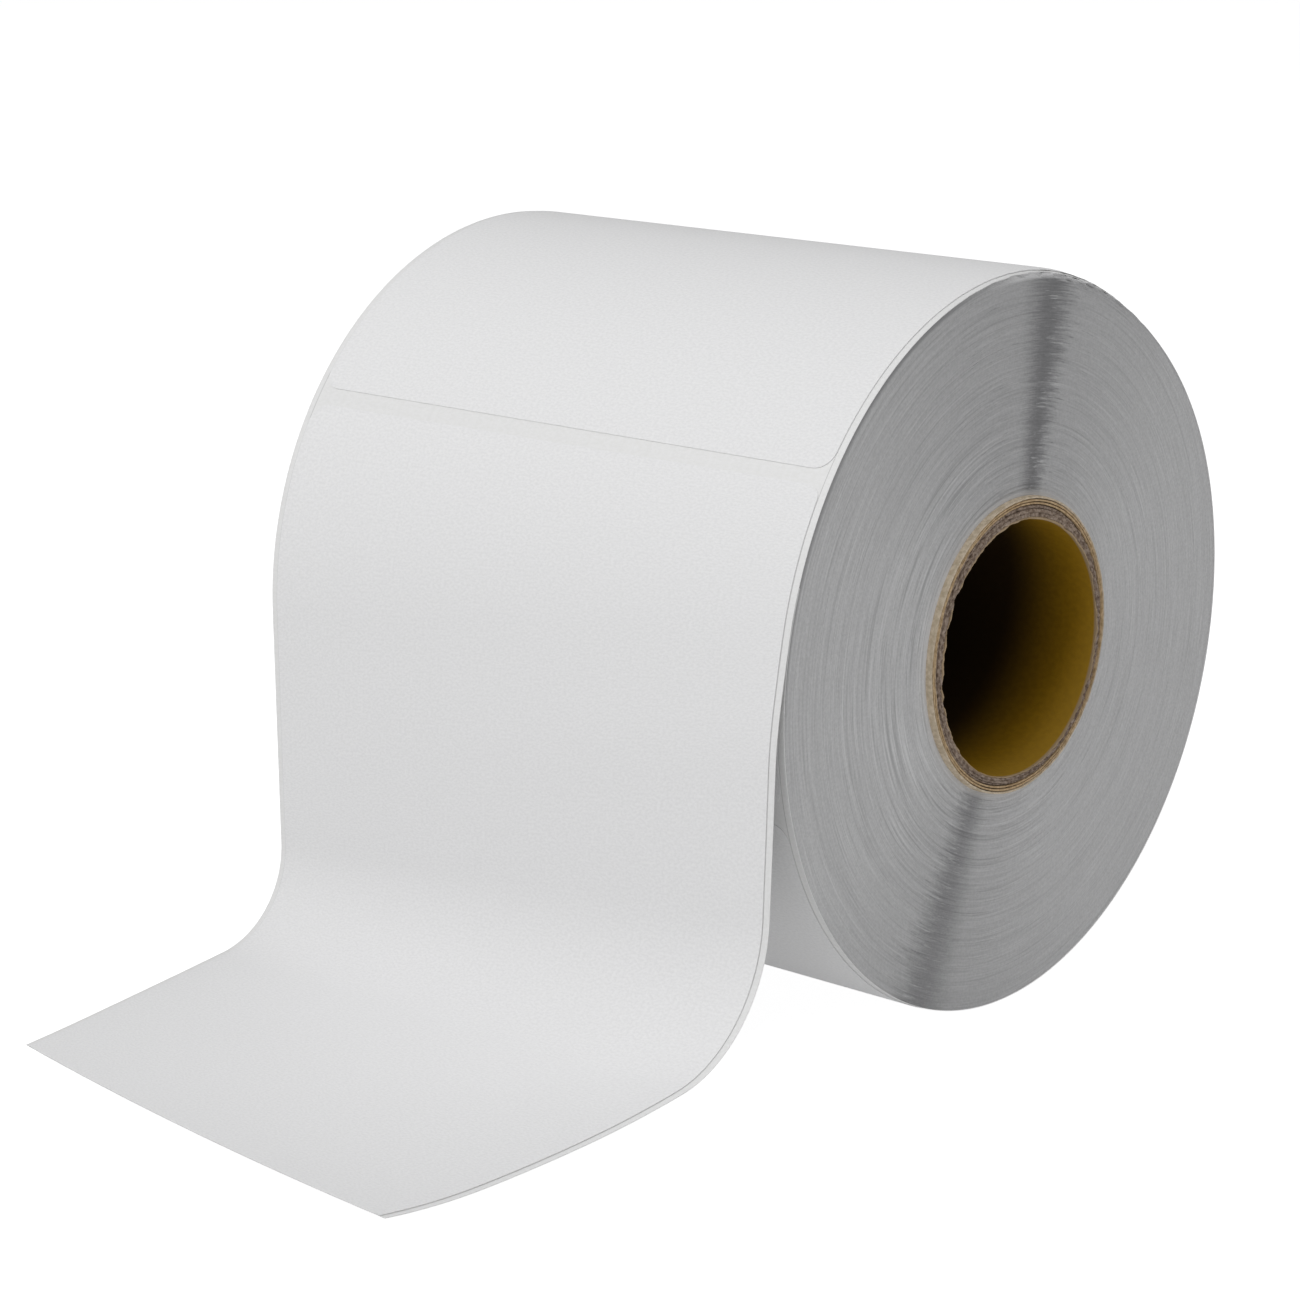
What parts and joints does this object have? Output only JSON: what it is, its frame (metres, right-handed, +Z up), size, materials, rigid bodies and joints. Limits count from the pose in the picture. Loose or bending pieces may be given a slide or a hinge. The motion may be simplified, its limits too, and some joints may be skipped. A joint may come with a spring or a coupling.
{
  "type": "label roll",
  "caption": "Roll of blank die-cut self-adhesive labels on a paperboard core, lying on its side with its free end hanging down the front and out onto the table.",
  "frame": {"origin": "the middle of the core's bore, half way along the roll", "axes": "+X along the roll's axis towards its right end, -Y towards the front where the free end hangs and lies, +Z up"},
  "size_m": [0.106, 0.1961, 0.1149],
  "materials": {
    "label_face": "matte",
    "liner": "satin",
    "wound_edge": "matte",
    "core_liner": "matte",
    "core_board": "matte",
    "core_wrap": "matte",
    "start_tape": "satin"
  },
  "bodies": {
    "roll": {"core_inner_ply": "core_liner", "core_board_ply_1": "core_board", "core_board_ply_2": "core_board", "core_board_ply_3": "core_board", "core_outer_ply_1": "core_wrap", "core_outer_ply_2": "core_wrap", "core_outer_ply_3": "core_wrap", "core_start_tape": "start_tape", "wound_turns_1": "wound_edge", "wound_turns_2": "wound_edge", "wound_turns_3": "wound_edge", "wound_turns_4": "wound_edge", "wound_turns_5": "wound_edge", "outer_turn_liner": "liner", "front_label_on_roll": "label_face", "top_label": "label_face", "rear_label": "label_face", "under_label": "label_face"},
    "tail_drop": {"tail_liner_drop": "liner", "front_label_drop": "label_face"},
    "tail_foot": {"tail_liner_foot": "liner", "front_label_foot": "label_face"},
    "label_lead": {"front_label_lead": "label_face"}
  },
  "joints": [
    {"name": "tail_lift", "type": "hinge", "parent": "roll", "child": "tail_drop", "pos_m": [0, -0.05739, 0], "axis": [-1, 0, 0], "range_deg": [0, 60], "stiffness_Nm_per_rad": 0.006},
    {"name": "tail_bend", "type": "hinge", "parent": "tail_drop", "child": "tail_foot", "pos_m": [0, -0.06361, -0.04612], "axis": [-0.9974, 0.0445, -0.0571], "range_deg": [-75, 20], "stiffness_Nm_per_rad": 0.005},
    {"name": "label_peel", "type": "hinge", "parent": "tail_foot", "child": "label_lead", "pos_m": [0, -0.08602, -0.05231], "axis": [-0.9928, 0.1096, -0.0479], "range_deg": [0, 90], "stiffness_Nm_per_rad": 0.001}
  ]
}
